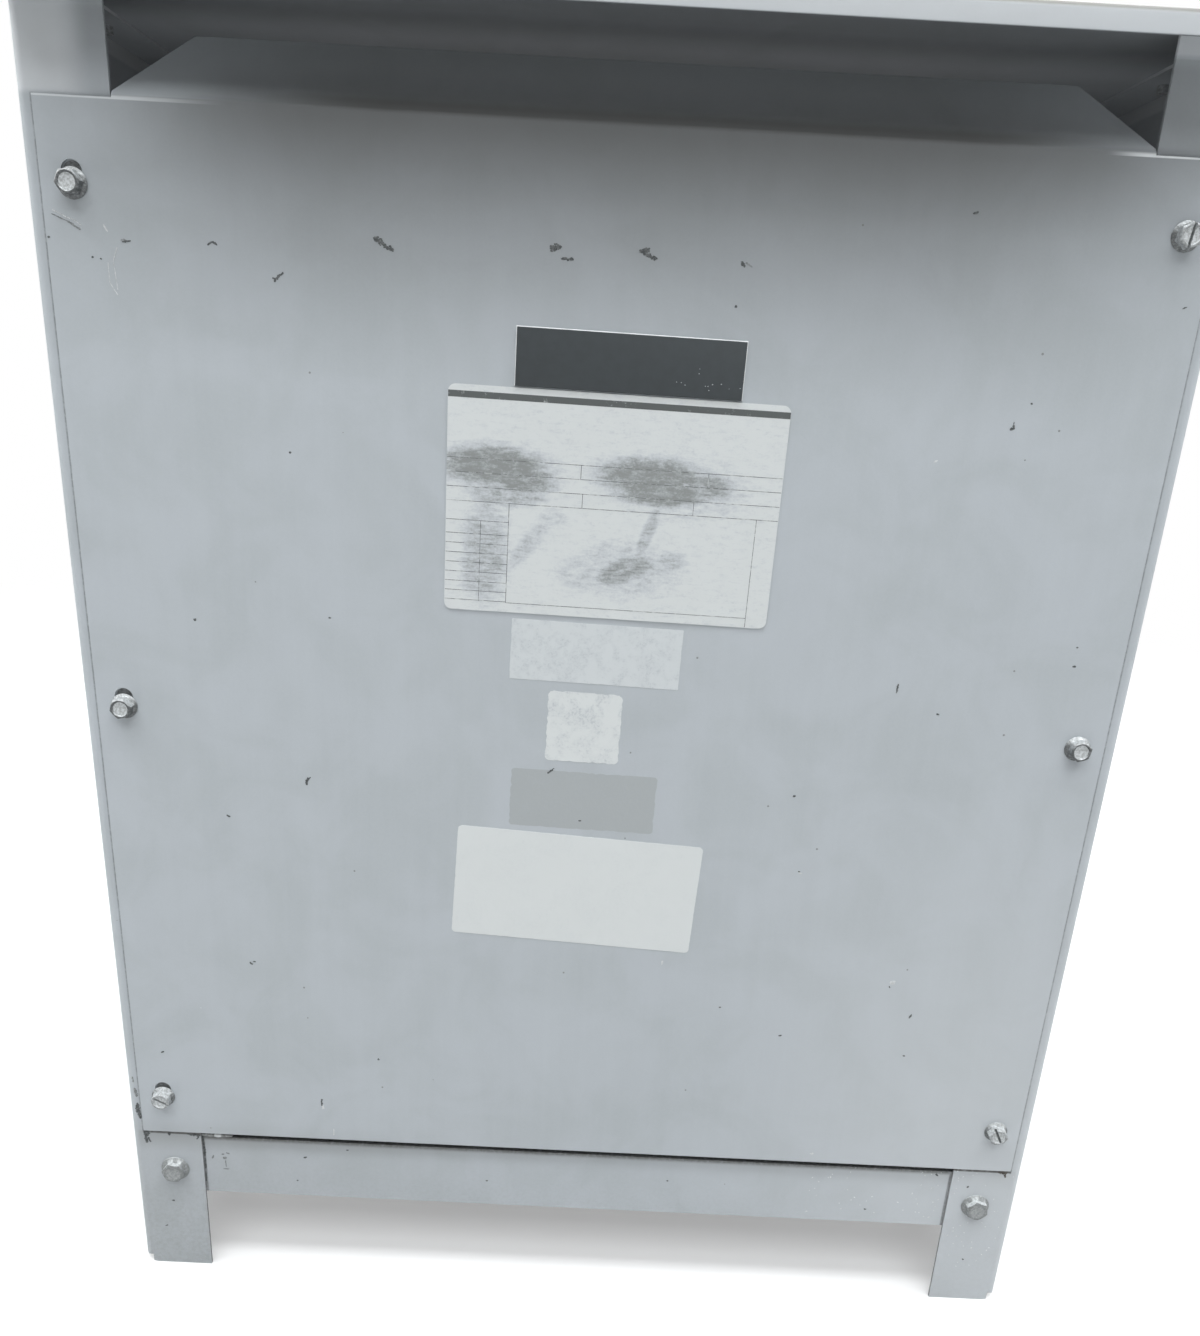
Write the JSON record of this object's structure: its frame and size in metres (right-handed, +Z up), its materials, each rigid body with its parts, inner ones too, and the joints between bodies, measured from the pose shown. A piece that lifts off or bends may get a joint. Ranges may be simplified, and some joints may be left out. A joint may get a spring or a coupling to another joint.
{
  "type": "dry-type transformer",
  "caption": "Floor-standing ventilated transformer enclosure with bolted panels, vent slots under an overhanging cover, short feet, and the core and coils inside.",
  "frame": {"origin": "on the floor, under the middle of the enclosure", "axes": "+Z up, -Y towards the front panel, +X to the right seen from the front"},
  "size_m": [0.59, 0.507, 0.764],
  "materials": {
    "enclosure_paint": "satin grey enamel, slightly mottled, with small chips and scuffs",
    "core_steel": "edges of stacked electrical sheet under dark varnish",
    "coil_varnish": "varnished insulating wrap",
    "clamp_paint": "dull grey primer",
    "board_laminate": "red-brown glass laminate",
    "bar_metal": "mill finish",
    "pad_rubber": "black rubber",
    "tag_plastic": "black two-layer engraving sheet with a pale edge",
    "plate_metal": "pale satin foil face, rubbed",
    "sticker_film": "pale printed film, bare",
    "fastener_zinc": "zinc plated, dull"
  },
  "bodies": {
    "root": {"left_side_sheet": "enclosure_paint", "right_side_sheet": "enclosure_paint", "front_panel": "enclosure_paint", "back_panel": "enclosure_paint", "top_cover": "enclosure_paint", "front_base_rail": "enclosure_paint", "back_base_rail": "enclosure_paint", "left_core_support": "clamp_paint", "right_core_support": "clamp_paint", "isolator_pads": "pad_rubber", "core_lower_yoke": "core_steel", "core_upper_yoke": "core_steel", "core_left_leg": "core_steel", "core_middle_leg": "core_steel", "core_right_leg": "core_steel", "lower_front_clamp": "clamp_paint", "lower_back_clamp": "clamp_paint", "upper_front_clamp": "clamp_paint", "upper_back_clamp": "clamp_paint", "left_coil": "coil_varnish", "middle_coil": "coil_varnish", "right_coil": "coil_varnish", "lower_coil_blocks": "board_laminate", "upper_coil_blocks": "board_laminate", "terminal_board": "board_laminate", "load_bars": "bar_metal", "line_bars": "bar_metal", "engraved_tag": "tag_plastic", "nameplate": "plate_metal"}
  },
  "joints": []
}
